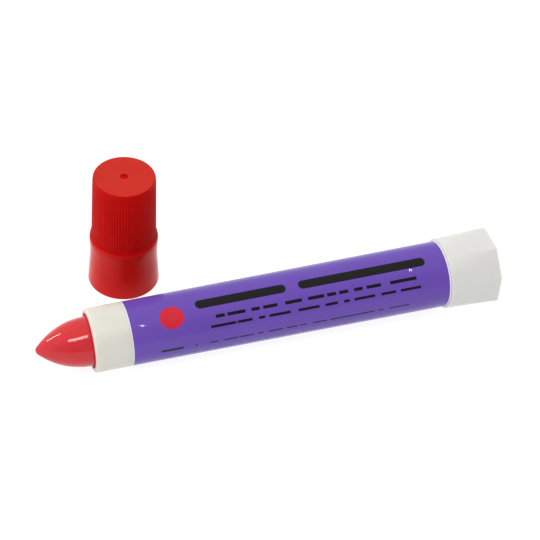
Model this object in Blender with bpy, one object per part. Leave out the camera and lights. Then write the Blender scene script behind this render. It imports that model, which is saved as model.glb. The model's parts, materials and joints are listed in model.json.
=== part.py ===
"""Twist-up solid paint marker, lying on a table with its cap standing beside it.

The marker is drawn along its own +X axis, from the paint point to the twist knob, with x = 0 at the
barrel's mouth. It is then tilted until the collar and one flat of the knob both touch the table.
"""

import math

import bmesh
import bpy
from mathutils import Vector

MM = 0.001

# Barrel: one white tube that widens towards the knob, with a shallow land that the label wraps
BARREL_LENGTH = 97.0 * MM
BARREL_FRONT_RADIUS = 8.44 * MM
BARREL_REAR_FLARE = 0.58 * MM
BARREL_FRONT_WALL = 1.14 * MM
COLLAR_LENGTH = 9.58 * MM
COLLAR_EDGE = 0.6 * MM
MOUTH_CHAMFER = 0.15 * MM

# Label: a film wrapped into the land, flush with the collar
LABEL_THICKNESS = 0.15 * MM
LABEL_CLEARANCE = 0.1 * MM
LABEL_MARGIN = 0.3 * MM

# Keyways: grooves in the bore that stop the carrier and the bearing from turning
KEYWAY_COUNT = 4
KEYWAY_WIDTH = 1.4 * MM
KEYWAY_DEPTH = 0.45 * MM
KEYWAY_OVERRUN = 1.5 * MM
KEY_CLEARANCE = 0.2 * MM

# Paint stick: an ogive point on a round stick
STICK_CLEARANCE = 0.75 * MM
POINT_LENGTH = 14.0 * MM
POINT_TIP_RADIUS = 1.4 * MM
STICK_BORE_CLEARANCE = 0.6 * MM
STICK_BORE_OVERRUN = 1.5 * MM

# Feed: a left-hand screw that pushes the carrier towards the mouth
LEAD = 6.0 * MM
FEED_TURNS = 10
SCREW_CREST_RADIUS = 2.6 * MM
THREAD_DEPTH = 0.7 * MM
THREAD_CREST_WIDTH = 1.2 * MM
THREAD_ROOT_WIDTH = 2.0 * MM
THREAD_CLEARANCE = 0.3 * MM
SCREW_OVERRUN = 1.0 * MM
SCREW_NECK_RADIUS = 2.0 * MM
SCREW_FLANGE_RADIUS = 4.4 * MM
SCREW_FLANGE_LENGTH = 1.2 * MM
SCREW_HEX_LENGTH = 7.5 * MM

# Carrier: a nut with a cup that the stick is cast into
CARRIER_CLEARANCE = 0.3 * MM
CARRIER_NUT_LENGTH = 5.0 * MM
CARRIER_CUP_DEPTH = 5.0 * MM
CARRIER_CUP_WALL = 0.7 * MM

# Bearing: a keyed disc with a toothed hub, snapped into the barrel's rear
BEARING_LENGTH = 3.0 * MM
BEARING_CLEARANCE = 0.15 * MM
HUB_LENGTH = 4.1 * MM
BEAD_HEIGHT = 0.2 * MM
BEAD_LENGTH = 1.0 * MM
RATCHET_TOOTH_COUNT = 12
RATCHET_TOOTH_DEPTH = 0.5 * MM
RATCHET_TOOTH_LENGTH = 3.0 * MM
RATCHET_TOOTH_STEEP_SHARE = 0.15

# Ratchet ring: sprung pawls, drawn riding on the crests of the teeth
PAWL_COUNT = 3
PAWL_DEGREES = 78
PAWL_ROOT_DEGREES = 12
PAWL_THICKNESS = 0.45 * MM
PAWL_TOOTH_DEPTH = 0.25 * MM
PAWL_SLOT = 0.3 * MM
RING_WALL = 0.5 * MM
RING_LENGTH = 3.0 * MM

# Seal: a small O-ring between the screw's flange and the bearing
SEAL_SECTION_RADIUS = 0.5 * MM
SEAL_BORE_CLEARANCE = 0.15 * MM

# Knob: a round front that stands a step above the barrel, and an octagon at its end
KNOB_LENGTH = 13.95 * MM
KNOB_FRONT_STEP = 0.55 * MM
KNOB_FLARE = 0.5 * MM
KNOB_SIDES = 8
KNOB_CORNER_RADIUS = 1.2 * MM
KNOB_END_EDGE = 0.4 * MM
KNOB_FRONT_EDGE = 0.15 * MM
KNOB_END_WALL = 2.0 * MM
KNOB_BOSS_WALL = 1.1 * MM
SPIGOT_LENGTH = 4.0 * MM
SPIGOT_WALL = 0.7 * MM
SPIGOT_CLEARANCE = 0.25 * MM
RING_SHOULDER = 0.6 * MM

# Cap: a flared skirt with a soft waist, a sloping shoulder and a ribbed grip
CAP_HEIGHT = 35.6 * MM
CAP_SKIRT_HEIGHT = 14.4 * MM
CAP_SHOULDER_HEIGHT = 3.1 * MM
CAP_SKIRT_WALL = 0.58 * MM
CAP_SKIRT_FLARE = 0.5 * MM
CAP_WAIST_DEPTH = 0.1 * MM
CAP_WAIST_LENGTH = 2.8 * MM
CAP_SWELL_LENGTH = 2.9 * MM
CAP_GRIP_STEP = 0.54 * MM
CAP_GRIP_TAPER = 0.33 * MM
CAP_TOP_EDGE = 0.4 * MM
CAP_TOP_BAND = 0.7 * MM
CAP_RIB_COUNT = 72
CAP_RIB_DEPTH = 0.2 * MM
CAP_RIB_FADE = 0.5 * MM
CAP_RIM_EDGE = 0.15 * MM
CAP_FIT_CLEARANCE = 0.12 * MM
CAP_LEAD_IN = 0.15 * MM
CAP_GRIP_WALL = 1.15 * MM
CAP_TOP_WALL = 1.6 * MM
GATE_RADIUS = 1.0 * MM
GATE_DEPTH = 0.3 * MM
GATE_PIP_RADIUS = 0.35 * MM
GATE_PIP_HEIGHT = 0.15 * MM

# Liner: a soft thimble in the cap that closes over the point and seals on the mouth
LINER_WALL = 0.6 * MM
LINER_CLEARANCE = 0.2 * MM
LINER_FLANGE_REACH = 0.9 * MM
POINT_HEADROOM = 2.0 * MM

# Where the cap stands, measured from the centre of the mouth
CAP_ALONG = 16.89 * MM
CAP_ASIDE = 30.1 * MM

# Shared clearances: running between pieces that turn, seated between pieces that rest on each other
RUNNING_GAP = 0.25 * MM
SEATED_GAP = 0.2 * MM

# Facets
SEGMENTS = 64
HIDDEN_SEGMENTS = 48
SMALL_SEGMENTS = 24
THREAD_SLICES_PER_TURN = 12
MERGE = 0.001 * MM


def barrel_radius(x):
    """The barrel's outer radius at a distance from the mouth."""
    return BARREL_FRONT_RADIUS + BARREL_REAR_FLARE * x / BARREL_LENGTH


# Radii that follow from the sizes above
BORE_RADIUS = BARREL_FRONT_RADIUS - BARREL_FRONT_WALL
LAND_DEPTH = LABEL_THICKNESS + LABEL_CLEARANCE
KEYWAY_RADIUS = BORE_RADIUS + KEYWAY_DEPTH
STICK_RADIUS = BORE_RADIUS - STICK_CLEARANCE
CUP_RADIUS = BORE_RADIUS - CARRIER_CLEARANCE
CUP_BORE_RADIUS = CUP_RADIUS - CARRIER_CUP_WALL
SPIGOT_RADIUS = BORE_RADIUS - SPIGOT_CLEARANCE
SPIGOT_BORE_RADIUS = SPIGOT_RADIUS - SPIGOT_WALL
RING_RADIUS = SPIGOT_BORE_RADIUS - SEATED_GAP
RING_BORE_RADIUS = RING_RADIUS - RING_WALL
PAWL_OUTER_RADIUS = RING_BORE_RADIUS - PAWL_SLOT
PAWL_INNER_RADIUS = PAWL_OUTER_RADIUS - PAWL_THICKNESS
RATCHET_RADIUS = PAWL_INNER_RADIUS - PAWL_TOOTH_DEPTH - SEATED_GAP
RATCHET_ROOT_RADIUS = RATCHET_RADIUS - RATCHET_TOOTH_DEPTH
NECK_BORE_RADIUS = SCREW_NECK_RADIUS + SEATED_GAP
HEX_RADIUS = SCREW_NECK_RADIUS
SOCKET_RADIUS = HEX_RADIUS + SEATED_GAP
BOSS_RADIUS = SOCKET_RADIUS + KNOB_BOSS_WALL
KNOB_FRONT_RADIUS = barrel_radius(BARREL_LENGTH) + KNOB_FRONT_STEP
KNOB_APOTHEM = KNOB_FRONT_RADIUS + KNOB_FLARE
COLLAR_REST_RADIUS = barrel_radius(COLLAR_EDGE)

# Stations along the marker, from the mouth
KNOB_FRONT = BARREL_LENGTH + RUNNING_GAP
KNOB_END = KNOB_FRONT + KNOB_LENGTH
SPIGOT_FRONT = KNOB_FRONT - SPIGOT_LENGTH
BEARING_REAR = SPIGOT_FRONT - 2 * RUNNING_GAP
BEARING_FRONT = BEARING_REAR - BEARING_LENGTH
HUB_REAR = BEARING_REAR + HUB_LENGTH
FLANGE_REAR = BEARING_FRONT - RUNNING_GAP
FLANGE_FRONT = FLANGE_REAR - SCREW_FLANGE_LENGTH
CARRIER_REAR = FLANGE_FRONT - RUNNING_GAP
CARRIER_FLOOR = CARRIER_REAR - CARRIER_NUT_LENGTH
CARRIER_FRONT = CARRIER_FLOOR - CARRIER_CUP_DEPTH
FEED_TRAVEL = LEAD * FEED_TURNS
KEYWAY_FRONT = CARRIER_FRONT - FEED_TRAVEL - KEYWAY_OVERRUN
SCREW_FRONT = CARRIER_FLOOR - FEED_TRAVEL - SCREW_OVERRUN
STICK_BORE_END = SCREW_FRONT - STICK_BORE_OVERRUN
RING_FRONT = SPIGOT_FRONT + SEATED_GAP
RING_REAR = RING_FRONT + RING_LENGTH
BOSS_FRONT = HUB_REAR + 2 * RUNNING_GAP
CAVITY_END = KNOB_END - KNOB_END_WALL
SOCKET_END = BOSS_FRONT + SCREW_HEX_LENGTH + SEATED_GAP

# Radii of the cap: its bore fits the collar, and its outside follows from the bore
CAP_BORE_RADIUS = barrel_radius(COLLAR_LENGTH) + CAP_FIT_CLEARANCE
CAP_SKIRT_RADIUS = CAP_BORE_RADIUS + CAP_SKIRT_WALL
CAP_RIM_RADIUS = CAP_SKIRT_RADIUS + CAP_SKIRT_FLARE
CAP_GRIP_RADIUS = CAP_SKIRT_RADIUS - CAP_GRIP_STEP
CAP_TOP_RADIUS = CAP_GRIP_RADIUS - CAP_GRIP_TAPER

# Heights inside the cap, from its rim
CAP_SEAT = COLLAR_LENGTH + 2 * SEATED_GAP + LINER_WALL
LINER_SEAT = CAP_SEAT - SEATED_GAP - LINER_WALL
POINT_IN_CAP = LINER_SEAT + POINT_LENGTH
LINER_TOP = POINT_IN_CAP + POINT_HEADROOM + LINER_WALL
CAP_GRIP_HEIGHT = CAP_SKIRT_HEIGHT + CAP_SHOULDER_HEIGHT
CAP_WAIST_TOP = CAP_SKIRT_HEIGHT - CAP_SWELL_LENGTH
CAP_WAIST_BASE = CAP_WAIST_TOP - CAP_WAIST_LENGTH

# The liner's pocket: its lower end clears the stick, its upper end leaves the grip's wall
LINER_POCKET_BASE = STICK_RADIUS + STICK_CLEARANCE + LINER_WALL
LINER_POCKET_TOP = CAP_TOP_RADIUS - CAP_RIB_DEPTH - CAP_GRIP_WALL

# The marker rests on the collar's front edge and on the end of one knob flat
TILT = math.atan2(KNOB_APOTHEM - COLLAR_REST_RADIUS, KNOB_END - KNOB_END_EDGE - COLLAR_EDGE)
AXIS_HEIGHT = COLLAR_REST_RADIUS * math.cos(TILT) - COLLAR_EDGE * math.sin(TILT)

# The origin is under the middle of the whole set
REAR_REACH = KNOB_END * math.cos(TILT) + (KNOB_APOTHEM - KNOB_END_EDGE) * math.sin(TILT)
MOUTH_X = (POINT_LENGTH * math.cos(TILT) - REAR_REACH) / 2
AXIS_Y = (KNOB_APOTHEM - CAP_ASIDE - CAP_RIM_RADIUS) / 2


def linear(hex_colour):
    """Turn an sRGB hex colour into the linear values that Blender's shaders read."""
    shares = [int(hex_colour[i:i + 2], 16) / 255 for i in (1, 3, 5)]
    return [s / 12.92 if s <= 0.04045 else ((s + 0.055) / 1.055) ** 2.4 for s in shares] + [1.0]


def plastic(name, hex_colour, roughness):
    """A moulded plastic or wax with one colour and roughness."""
    material = bpy.data.materials.new(name)
    material.use_nodes = True
    shader = material.node_tree.nodes["Principled BSDF"]
    shader.inputs["Base Color"].default_value = linear(hex_colour)
    shader.inputs["Roughness"].default_value = roughness
    shader.inputs["Metallic"].default_value = 0.0
    return material


def finished(name, bm, material=None, parent=None):
    """Close the bmesh into a smooth-shaded object, with its faces turned outwards."""
    bmesh.ops.remove_doubles(bm, verts=bm.verts, dist=MERGE)
    bmesh.ops.recalc_face_normals(bm, faces=bm.faces)
    mesh = bpy.data.meshes.new(name)
    bm.to_mesh(mesh)
    bm.free()
    mesh.shade_smooth()
    mesh.set_sharp_from_angle(angle=math.radians(30))
    obj = bpy.data.objects.new(name, mesh)
    bpy.context.scene.collection.objects.link(obj)
    obj.parent = parent
    if material:
        mesh.materials.append(material)
    return obj


def turned(name, outline, material=None, parent=None, segments=SEGMENTS, upright=False):
    """Spin an outline of (along, radius) points round the X axis, or round Z when upright."""
    bm = bmesh.new()
    points = [(r, 0, a) if upright else (a, 0, r) for a, r in outline]
    verts = [bm.verts.new(p) for p in points]
    edges = [bm.edges.new(pair) for pair in zip(verts, verts[1:])]
    if outline[0][1] > MERGE:
        edges.append(bm.edges.new((verts[-1], verts[0])))
    bmesh.ops.spin(bm, geom=verts + edges, cent=(0, 0, 0), axis=(0, 0, 1) if upright else (1, 0, 0),
                   angle=math.tau, steps=segments, use_merge=True)
    return finished(name, bm, material, parent)


def lofted(name, rings, material=None, parent=None):
    """Skin a row of rings and close both ends. A ring may have twice the points of its neighbour."""
    bm = bmesh.new()
    loops = [[bm.verts.new(p) for p in ring] for ring in rings]
    for a, b in zip(loops, loops[1:]):
        if len(a) > len(b):
            a, b = b, a
        step = len(b) // len(a)
        for i in range(len(a)):
            far = [b[(i * step + k) % len(b)] for k in range(step, -1, -1)]
            bm.faces.new([a[i], a[(i + 1) % len(a)]] + far)
    bm.faces.new(loops[0])
    bm.faces.new(loops[-1])
    return finished(name, bm, material, parent)


def prism(name, section, front, rear, material=None, parent=None):
    """Carry a flat section of (y, z) points along X."""
    rings = [[(x, y, z) for y, z in section] for x in (front, rear)]
    return lofted(name, rings, material, parent)


def polar(radius, angle):
    """A (y, z) point, with the angle turned by the right-hand rule about X from straight up."""
    return (-radius * math.sin(angle), radius * math.cos(angle))


def arc(centre_a, centre_r, radius, start, end, steps):
    """Points of (along, radius) round an arc, with its angles in degrees from the along axis."""
    angles = [math.radians(start + (end - start) * i / steps) for i in range(steps + 1)]
    return [(centre_a + radius * math.cos(t), centre_r + radius * math.sin(t)) for t in angles]


def combine(obj, tool, operation):
    """Cut or join a tool shape, which is then kept only as a guide."""
    modifier = obj.modifiers.new(tool.name, "BOOLEAN")
    modifier.object = tool
    modifier.operation = operation
    tool.hide_render = True
    tool.hide_set(True)
    tool.display_type = "WIRE"


def empty(name, location, parent=None):
    """A frame that pieces hang from, on their joint's axis."""
    obj = bpy.data.objects.new(name, None)
    obj.location = location
    obj.parent = parent
    bpy.context.scene.collection.objects.link(obj)
    return obj


def spokes(name, count, width, inner, outer, front, rear, parent):
    """Straight bars of one width, spread evenly round the axis and joined to no other bar."""
    bm = bmesh.new()
    for k in range(count):
        angle = math.tau * (k + 0.5) / count
        out = Vector((0, *polar(1, angle)))
        side = Vector((1, 0, 0)).cross(out)
        corners = [out * r + side * s for r, s in ((inner, -width / 2), (outer, -width / 2),
                                                   (outer, width / 2), (inner, width / 2))]
        near = [bm.verts.new(c + Vector((front, 0, 0))) for c in corners]
        far = [bm.verts.new(c + Vector((rear, 0, 0))) for c in corners]
        for i in range(4):
            bm.faces.new((near[i], near[(i + 1) % 4], far[(i + 1) % 4], far[i]))
        bm.faces.new(near)
        bm.faces.new(far)
    return finished(name, bm, parent=parent)


def thread_section(grow, crest_steps):
    """One turn of a single-start thread seen along the axis, as (radius, angle) points.

    The screw's own thread has no growth. The nut's is the same thread, grown by its clearance.
    """
    crest = SCREW_CREST_RADIUS + grow
    root = SCREW_CREST_RADIUS - THREAD_DEPTH + grow
    half_crest = math.pi * (THREAD_CREST_WIDTH + 2 * grow) / LEAD
    half_root = math.pi * (THREAD_ROOT_WIDTH + 2 * grow) / LEAD
    points = [(crest, half_crest * (2 * i / crest_steps - 1)) for i in range(crest_steps + 1)]
    root_steps = 6
    root_arc = math.tau - 2 * half_root
    points += [(root, half_root + root_arc * i / root_steps) for i in range(root_steps + 1)]
    return points


def threaded_rod(name, section, front, rear, material=None, parent=None):
    """Twist a thread section along X, left-handed, with its phase counted from x = 0."""
    slices = math.ceil((rear - front) / LEAD * THREAD_SLICES_PER_TURN)
    rings = []
    for k in range(slices + 1):
        x = front + (rear - front) * k / slices
        phase = -math.tau * x / LEAD
        rings.append([(x, *polar(r, t + phase)) for r, t in section])
    return lofted(name, rings, material, parent)


def knob_ring(x, growth, inset=0.0):
    """A ring between the front's circle, at growth 0, and a round-cornered polygon, at growth 1.

    The polygon's radius is its apothem over the cosine of the angle from the nearest flat's middle.
    Near a corner it is held to the circle that rounds the corner off.
    """
    apothem = KNOB_APOTHEM - inset
    corner = KNOB_CORNER_RADIUS - inset
    circle = KNOB_FRONT_RADIUS - inset
    half = math.pi / KNOB_SIDES
    corner_centre = (apothem - corner) / math.cos(half)
    ring = []
    for i in range(SEGMENTS):
        angle = math.tau * i / SEGMENTS
        off_flat = (angle + half) % (2 * half) - half
        off_corner = half - abs(off_flat)
        flat_radius = apothem / math.cos(off_flat)
        inside = corner ** 2 - (corner_centre * math.sin(off_corner)) ** 2
        round_radius = corner_centre * math.cos(off_corner) + math.sqrt(max(inside, 0))
        touch = math.atan2(corner_centre * math.sin(half), apothem)
        polygon = round_radius if abs(off_flat) > touch else flat_radius
        ring.append((x, *polar(circle + (polygon - circle) * growth, angle)))
    return ring


def make_barrel(white, axis):
    """The tube: collar, label land, bore, the bearing's snap groove and the keyways."""
    groove_middle = (BEARING_FRONT + BEARING_REAR) / 2
    groove_half = BEAD_LENGTH / 2 + BEARING_CLEARANCE
    groove_radius = BORE_RADIUS + BEAD_HEIGHT
    outline = [(MOUTH_CHAMFER, BORE_RADIUS), (0, BORE_RADIUS + MOUTH_CHAMFER)]
    outline += arc(COLLAR_EDGE, COLLAR_REST_RADIUS - COLLAR_EDGE, COLLAR_EDGE, 180, 90, 4)
    outline += [
        (COLLAR_LENGTH, barrel_radius(COLLAR_LENGTH)),
        (COLLAR_LENGTH, barrel_radius(COLLAR_LENGTH) - LAND_DEPTH),
        (BARREL_LENGTH, barrel_radius(BARREL_LENGTH) - LAND_DEPTH),
        (BARREL_LENGTH, BORE_RADIUS),
        (groove_middle + groove_half, BORE_RADIUS),
        (groove_middle + groove_half, groove_radius),
        (groove_middle - groove_half, groove_radius),
        (groove_middle - groove_half, BORE_RADIUS),
    ]
    barrel = turned("barrel", outline, white, axis)
    keyways = spokes("keyway_cutter", KEYWAY_COUNT, KEYWAY_WIDTH, BORE_RADIUS - KEYWAY_DEPTH,
                     KEYWAY_RADIUS, KEYWAY_FRONT, BARREL_LENGTH + KEYWAY_OVERRUN, axis)
    combine(barrel, keyways, "DIFFERENCE")


def make_label(film, axis):
    """The printed film, wrapped round the land."""
    front = COLLAR_LENGTH + LABEL_MARGIN
    rear = BARREL_LENGTH - LABEL_MARGIN
    turned("barrel_label", [
        (front, barrel_radius(front) - LABEL_THICKNESS),
        (front, barrel_radius(front)),
        (rear, barrel_radius(rear)),
        (rear, barrel_radius(rear) - LABEL_THICKNESS),
    ], film, axis)


def make_paint_stick(paint, axis):
    """A tangent ogive with a rounded tip, a round stick, and a tenon in the carrier's cup.

    The ogive's flank is an arc that meets the stick without a corner. The tip is a smaller arc that
    touches both the flank and the end of the point.
    """
    end = CARRIER_FLOOR - SEATED_GAP
    shoulder = CARRIER_FRONT - SEATED_GAP
    bore = SCREW_CREST_RADIUS + STICK_BORE_CLEARANCE
    tip = POINT_TIP_RADIUS
    reach = POINT_LENGTH - tip
    flank = (reach ** 2 + STICK_RADIUS ** 2 - tip ** 2) / (2 * (STICK_RADIUS - tip))
    centre = STICK_RADIUS - flank
    meet = math.degrees(math.atan2(-centre, -reach))
    outline = arc(-reach, 0, tip, 180, meet, 4)
    outline += arc(0, centre, flank, meet, 90, 8)[1:]
    outline += [
        (shoulder, STICK_RADIUS),
        (shoulder, CUP_BORE_RADIUS - SEATED_GAP),
        (end, CUP_BORE_RADIUS - SEATED_GAP),
        (end, bore),
        (STICK_BORE_END, bore),
        (STICK_BORE_END, 0),
    ]
    turned("paint_stick", outline, paint, axis, segments=HIDDEN_SEGMENTS)


def make_carrier(natural, axis):
    """The cup and nut that push the stick, with keys that run in the barrel's keyways."""
    carrier = turned("stick_carrier", [
        (CARRIER_FLOOR, 0),
        (CARRIER_FLOOR, CUP_BORE_RADIUS),
        (CARRIER_FRONT, CUP_BORE_RADIUS),
        (CARRIER_FRONT, CUP_RADIUS),
        (CARRIER_REAR, CUP_RADIUS),
        (CARRIER_REAR, 0),
    ], natural, axis, segments=HIDDEN_SEGMENTS)
    keys = spokes("carrier_keys", KEYWAY_COUNT, KEYWAY_WIDTH - 2 * KEY_CLEARANCE,
                  CUP_RADIUS - CARRIER_CUP_WALL / 2, KEYWAY_RADIUS - KEY_CLEARANCE,
                  CARRIER_FRONT + CARRIER_CUP_WALL, CARRIER_REAR - CARRIER_CUP_WALL, axis)
    combine(carrier, keys, "UNION")
    nut_thread = threaded_rod("nut_thread_cutter", thread_section(THREAD_CLEARANCE, 4),
                              CARRIER_FLOOR - SEATED_GAP, CARRIER_REAR + SEATED_GAP, parent=axis)
    combine(carrier, nut_thread, "DIFFERENCE")


def make_screw(natural, knob_axis):
    """The feed screw: a long thread, a thrust flange, a round neck and a hexagonal drive end."""
    overlap = SCREW_FLANGE_LENGTH / 2
    screw = threaded_rod("drive_screw", thread_section(0, 2), SCREW_FRONT, FLANGE_FRONT + overlap,
                         natural, knob_axis)
    neck = turned("screw_neck", [
        (FLANGE_FRONT, 0),
        (FLANGE_FRONT, SCREW_FLANGE_RADIUS),
        (FLANGE_REAR, SCREW_FLANGE_RADIUS),
        (FLANGE_REAR, SCREW_NECK_RADIUS),
        (BOSS_FRONT - SEATED_GAP, SCREW_NECK_RADIUS),
        (BOSS_FRONT - SEATED_GAP, 0),
    ], parent=knob_axis, segments=SMALL_SEGMENTS)
    combine(screw, neck, "UNION")
    hexagon = [polar(HEX_RADIUS, math.tau * i / 6) for i in range(6)]
    drive = prism("screw_hex", hexagon, FLANGE_REAR + overlap, SOCKET_END - SEATED_GAP,
                  parent=knob_axis)
    combine(screw, drive, "UNION")


def make_bearing(natural, axis):
    """The keyed disc that the screw turns in, with the ratchet's teeth round its hub."""
    pocket_depth = 2 * (SEAL_SECTION_RADIUS + SEAL_BORE_CLEARANCE) - RUNNING_GAP
    pocket_radius = SCREW_NECK_RADIUS + 2 * (SEAL_SECTION_RADIUS + SEAL_BORE_CLEARANCE)
    disc_radius = BORE_RADIUS - BEARING_CLEARANCE
    middle = (BEARING_FRONT + BEARING_REAR) / 2
    hub_radius = RATCHET_ROOT_RADIUS - SEATED_GAP
    bearing = turned("screw_bearing", [
        (BEARING_FRONT, pocket_radius),
        (BEARING_FRONT, disc_radius),
        (middle - BEAD_LENGTH / 2, disc_radius),
        (middle, disc_radius + BEAD_HEIGHT),
        (middle + BEAD_LENGTH / 2, disc_radius),
        (BEARING_REAR, disc_radius),
        (BEARING_REAR, hub_radius),
        (HUB_REAR, hub_radius),
        (HUB_REAR, NECK_BORE_RADIUS),
        (BEARING_FRONT + pocket_depth, NECK_BORE_RADIUS),
        (BEARING_FRONT + pocket_depth, pocket_radius),
    ], natural, axis, segments=HIDDEN_SEGMENTS)
    keys = spokes("bearing_keys", KEYWAY_COUNT, KEYWAY_WIDTH - 2 * KEY_CLEARANCE,
                  disc_radius - KEYWAY_DEPTH, KEYWAY_RADIUS - KEY_CLEARANCE,
                  BEARING_FRONT + BEARING_CLEARANCE, BEARING_REAR - BEARING_CLEARANCE, axis)
    combine(bearing, keys, "UNION")
    teeth = []
    for k in range(RATCHET_TOOTH_COUNT):
        crest = math.tau * k / RATCHET_TOOTH_COUNT
        root = math.tau * (k + RATCHET_TOOTH_STEEP_SHARE) / RATCHET_TOOTH_COUNT
        teeth.append(polar(RATCHET_RADIUS, crest))
        teeth.append(polar(RATCHET_ROOT_RADIUS, root))
    crown_front = HUB_REAR - RATCHET_TOOTH_LENGTH
    crown = prism("ratchet_crown", teeth, crown_front, HUB_REAR, parent=axis)
    clear = turned("crown_bore_cutter", [
        (crown_front - SEATED_GAP, 0),
        (crown_front - SEATED_GAP, NECK_BORE_RADIUS),
        (HUB_REAR + SEATED_GAP, NECK_BORE_RADIUS),
        (HUB_REAR + SEATED_GAP, 0),
    ], parent=axis, segments=HIDDEN_SEGMENTS)
    combine(crown, clear, "DIFFERENCE")
    combine(bearing, crown, "UNION")


def make_seal(rubber, axis):
    """The O-ring, in the pocket of the bearing's front face."""
    ring_radius = SCREW_NECK_RADIUS + SEAL_BORE_CLEARANCE + SEAL_SECTION_RADIUS
    centre = FLANGE_REAR + SEAL_BORE_CLEARANCE + SEAL_SECTION_RADIUS
    section = arc(centre, ring_radius, SEAL_SECTION_RADIUS, 0, 360, 8)[:-1]
    turned("screw_seal", section, rubber, axis, segments=SMALL_SEGMENTS)


def make_ratchet_ring(natural, knob_axis):
    """The ring pressed into the knob's spigot, with its pawls reaching in to the teeth."""
    ring = turned("ratchet_ring", [
        (RING_FRONT, RING_BORE_RADIUS),
        (RING_FRONT, RING_RADIUS),
        (RING_REAR, RING_RADIUS),
        (RING_REAR, RING_BORE_RADIUS),
    ], natural, knob_axis, segments=HIDDEN_SEGMENTS)
    into_ring = RING_BORE_RADIUS + RING_WALL / 2
    root_angle, tip_angle = math.radians(PAWL_ROOT_DEGREES), math.radians(PAWL_DEGREES)
    tooth_start = tip_angle - root_angle
    for k in range(PAWL_COUNT):
        turn = math.tau * k / PAWL_COUNT
        arm = [(PAWL_OUTER_RADIUS, root_angle + tooth_start * i / 5) for i in range(6)]
        under = [(PAWL_INNER_RADIUS, tooth_start * (1 - i / 5)) for i in range(6)]
        outline = [(into_ring, 0), (into_ring, root_angle)] + arm
        outline += [(PAWL_INNER_RADIUS - PAWL_TOOTH_DEPTH, tip_angle)] + under
        section = [polar(r, turn + t) for r, t in outline]
        pawl = prism(f"pawl_{k + 1}", section, RING_FRONT + SEATED_GAP, RING_REAR - SEATED_GAP,
                     parent=knob_axis)
        combine(ring, pawl, "UNION")


def make_knob(white, knob_axis):
    """The flared octagonal knob, its spigot in the barrel and the socket that drives the screw."""
    front = KNOB_FRONT + KNOB_FRONT_EDGE
    end = KNOB_END - KNOB_END_EDGE
    steps = 6
    rings = [knob_ring(KNOB_FRONT, 0, KNOB_FRONT_EDGE)]
    for i in range(steps + 1):
        rings.append(knob_ring(front + (end - front) * i / steps, i / steps))
    for i in (1, 2):
        turn = i / 2 * math.pi / 2
        rings.append(knob_ring(end + KNOB_END_EDGE * math.sin(turn), 1,
                               KNOB_END_EDGE * (1 - math.cos(turn))))
    knob = lofted("twist_knob", rings, white, knob_axis)
    spigot = turned("knob_spigot", [
        (SPIGOT_FRONT, 0),
        (SPIGOT_FRONT, SPIGOT_RADIUS),
        (KNOB_FRONT + RUNNING_GAP, SPIGOT_RADIUS),
        (KNOB_FRONT + RUNNING_GAP, 0),
    ], parent=knob_axis)
    combine(knob, spigot, "UNION")
    ring_stop = RING_REAR + SEATED_GAP
    cavity = turned("knob_cavity_cutter", [
        (SPIGOT_FRONT - RUNNING_GAP, 0),
        (SPIGOT_FRONT - RUNNING_GAP, SPIGOT_BORE_RADIUS),
        (ring_stop, SPIGOT_BORE_RADIUS),
        (ring_stop, SPIGOT_BORE_RADIUS - RING_SHOULDER),
        (CAVITY_END, SPIGOT_BORE_RADIUS - RING_SHOULDER),
        (CAVITY_END, BOSS_RADIUS),
        (BOSS_FRONT, BOSS_RADIUS),
        (BOSS_FRONT, 0),
    ], parent=knob_axis, segments=HIDDEN_SEGMENTS)
    combine(knob, cavity, "DIFFERENCE")
    hexagon = [polar(SOCKET_RADIUS, math.tau * i / 6) for i in range(6)]
    socket = prism("knob_socket_cutter", hexagon, BOSS_FRONT - RUNNING_GAP, SOCKET_END,
                   parent=knob_axis)
    combine(knob, socket, "DIFFERENCE")


def cap_ring(height, radius, valley=None):
    """One ring of the cap's outside: plain, or with a crest and a valley for each rib."""
    radii = [radius] if valley is None else [radius, valley]
    count = CAP_RIB_COUNT * len(radii)
    ring = []
    for i in range(count):
        angle = math.tau * i / count
        r = radii[i % len(radii)]
        ring.append((r * math.cos(angle), r * math.sin(angle), height))
    return ring


def grip_radius(height):
    """The ribs' crest radius, which tapers from the shoulder to the top."""
    share = (height - CAP_GRIP_HEIGHT) / (CAP_HEIGHT - CAP_GRIP_HEIGHT)
    return CAP_GRIP_RADIUS + (CAP_TOP_RADIUS - CAP_GRIP_RADIUS) * share


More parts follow.
